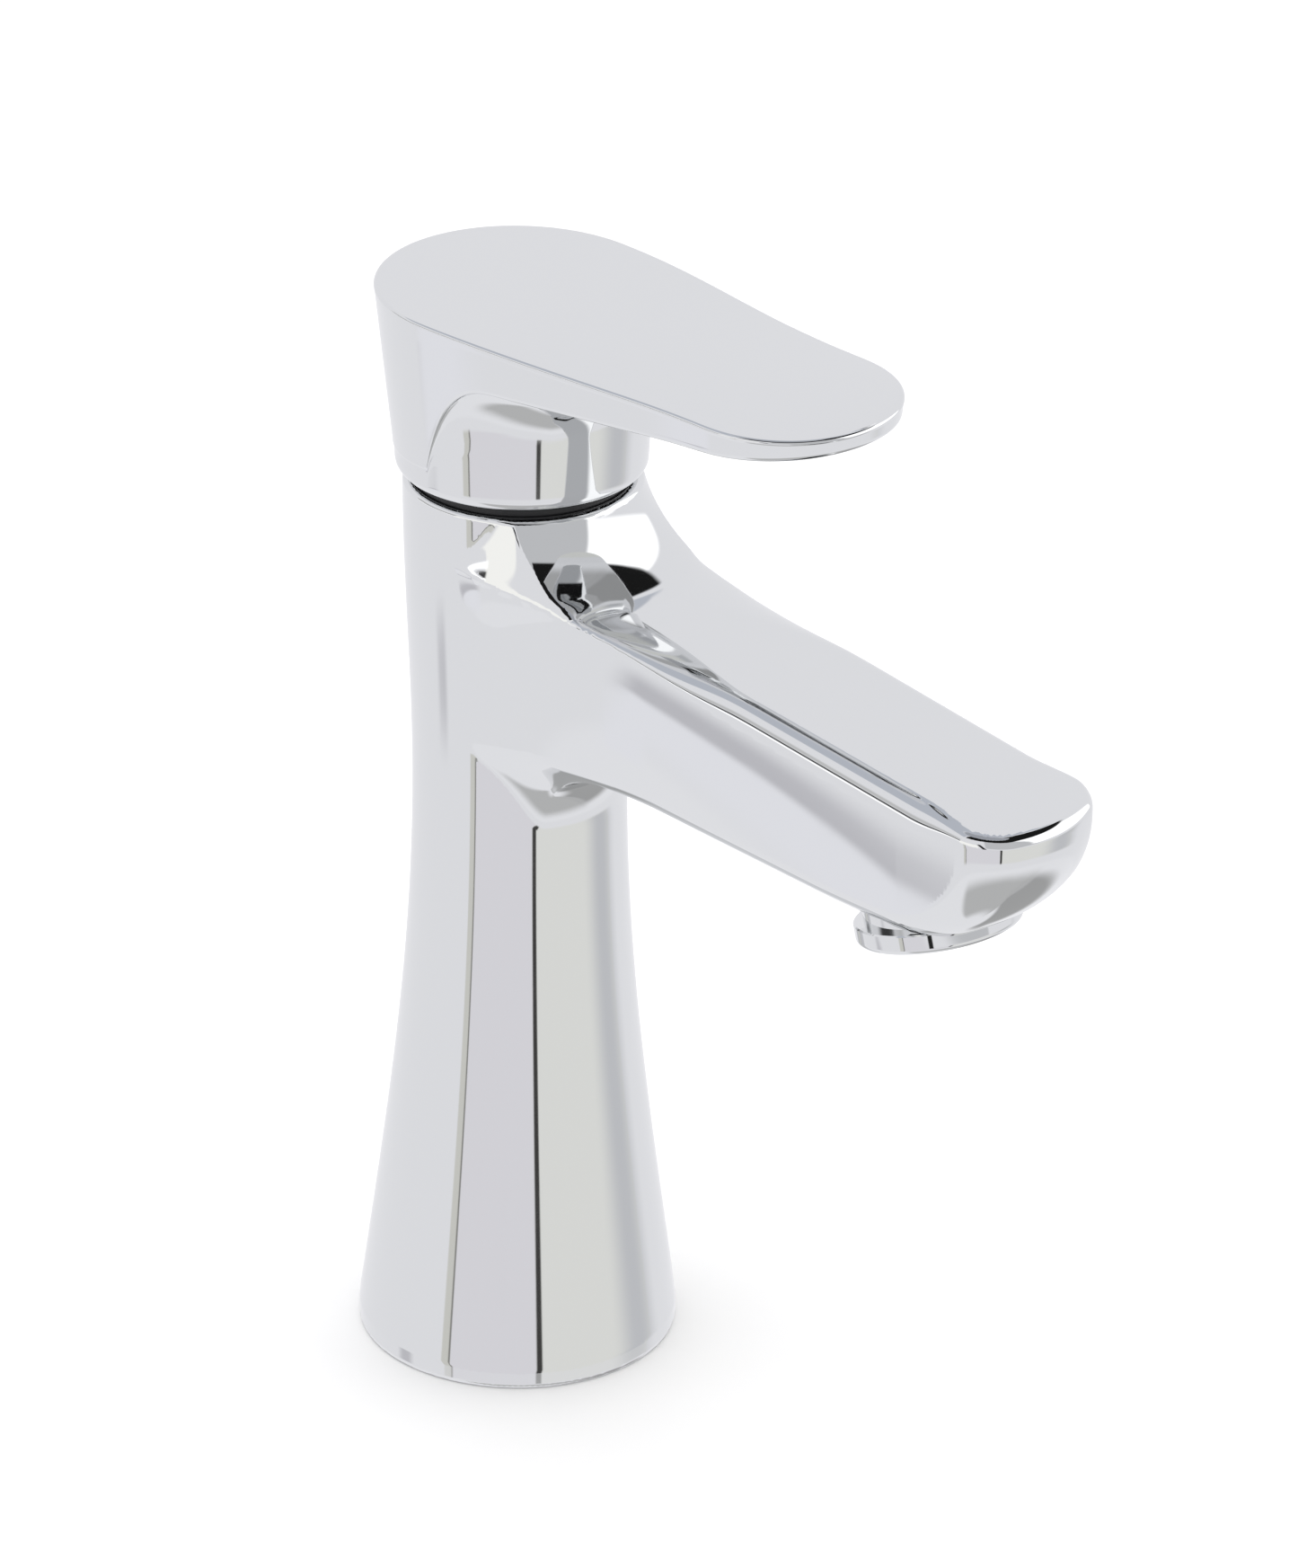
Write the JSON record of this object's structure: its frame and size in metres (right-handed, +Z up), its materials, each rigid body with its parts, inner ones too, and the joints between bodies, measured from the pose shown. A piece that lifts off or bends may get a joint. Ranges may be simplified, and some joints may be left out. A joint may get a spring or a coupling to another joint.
{
  "type": "bathroom mixer faucet",
  "caption": "Single-lever deck mixer tap: flared column, straight falling spout with aerator, flat blade lever over a ceramic disc cartridge.",
  "frame": {"origin": "centre of the foot's machined face, on the deck plane", "axes": "+Z up along the column, spout and lever blade towards -Y, hot side -X and cold side +X"},
  "size_m": [0.05, 0.1325, 0.1762],
  "materials": {
    "chrome_plated_brass": "mirror polished chrome plate on cast brass",
    "chrome_plated_zinc": "mirror polished chrome plate on die-cast zinc",
    "chrome_plated_cap": "chrome plated plastic, polished",
    "turned_brass": "turned, unplated",
    "stainless_steel": "turned and milled",
    "alumina_ceramic": "lapped alumina",
    "white_acetal": "moulded",
    "grey_acetal": "moulded",
    "red_acetal": "moulded",
    "black_acetal": "moulded",
    "black_rubber": "moulded nitrile"
  },
  "bodies": {
    "mixer_body": {"body_casting": "chrome_plated_brass", "base_seal": "black_rubber", "gap_ring": "black_acetal", "aerator_housing": "chrome_plated_brass", "aerator_insert": "black_acetal", "aerator_screen": "stainless_steel", "aerator_washer": "black_rubber", "cartridge_base": "white_acetal", "port_seal_hot": "black_rubber", "port_seal_cold": "black_rubber", "fixed_disc": "alumina_ceramic", "cartridge_housing": "white_acetal", "cartridge_o_ring": "black_rubber", "temperature_stop_ring": "red_acetal", "cartridge_nut": "turned_brass"},
    "swivel": {"lever_bush": "grey_acetal", "pivot_pin": "stainless_steel"},
    "lever": {"lever_stem": "stainless_steel", "handle_lever": "chrome_plated_zinc", "lever_grub_screw": "stainless_steel", "grub_screw_plug": "chrome_plated_cap"},
    "disc_pack": {"disc_carrier": "grey_acetal", "moving_disc": "alumina_ceramic"}
  },
  "joints": [
    {"name": "lever_turn", "type": "hinge", "parent": "mixer_body", "child": "swivel", "pos_m": [0, 0, 0.145], "axis": [0, 0, 1], "range_deg": [-45, 45]},
    {"name": "lever_lift", "type": "hinge", "parent": "swivel", "child": "lever", "pos_m": [0, 0, 0.13], "axis": [-1, 0, 0], "range_deg": [0, 18]},
    {"name": "disc_slide", "type": "slide", "parent": "swivel", "child": "disc_pack", "axis": [0, -1, 0], "range_m": [0, 0.0044]}
  ],
  "couplings": [
    {"joint": "disc_slide", "follows": "lever_lift", "m_per_rad": 0.014}
  ]
}
